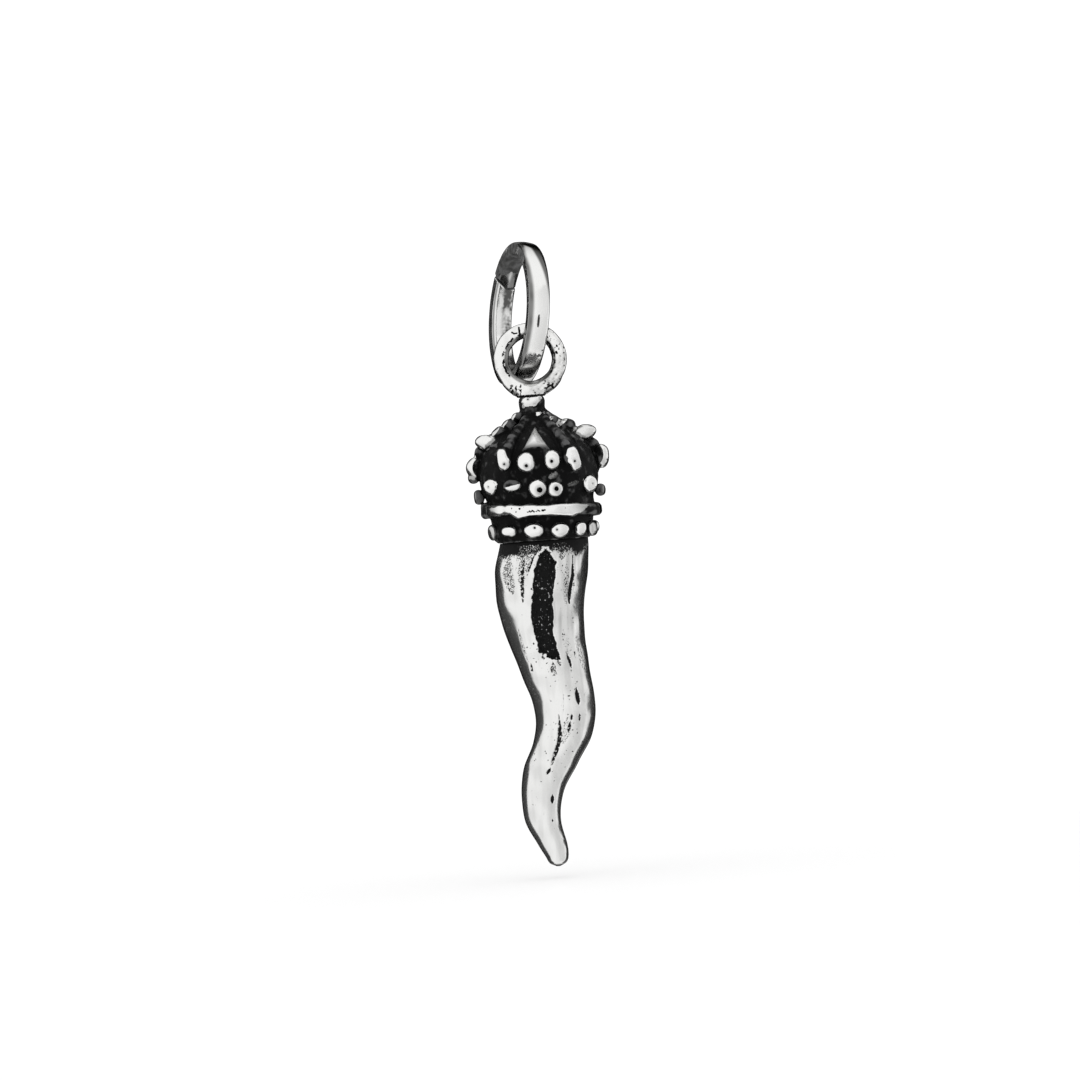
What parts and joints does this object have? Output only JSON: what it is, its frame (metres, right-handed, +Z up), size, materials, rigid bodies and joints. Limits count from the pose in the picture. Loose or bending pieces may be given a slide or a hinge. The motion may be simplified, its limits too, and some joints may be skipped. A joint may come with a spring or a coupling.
{
  "type": "cornicello horn pendant",
  "caption": "Wavy horn charm under a domed crown with raised beads, hung by a round loop from an open-jointed ring.",
  "frame": {"origin": "top of the jump ring's hole, where a chain carries the pendant", "axes": "+Z up along the crown's axis, +X to the viewer's right, -Y towards the viewer"},
  "size_m": [0.0102, 0.0127, 0.044],
  "materials": {
    "ring_silver": "polished silver band with a darkened inner face",
    "cast_silver": "cast silver, polished over pits",
    "oxidised_silver": "blackened silver with polished high points",
    "horn_silver": "polished silver with blackened grooves"
  },
  "bodies": {
    "ring": {"jump_ring": "ring_silver"},
    "pendant": {"hanging_loop": "cast_silver", "crown": "oxidised_silver", "horn": "horn_silver"}
  },
  "joints": [
    {"name": "pendant_swing", "type": "hinge", "parent": "ring", "child": "pendant", "pos_m": [0.00002, -0.00293, -0.00734], "axis": [0, -1, 0], "range_deg": [-90, 90]}
  ]
}
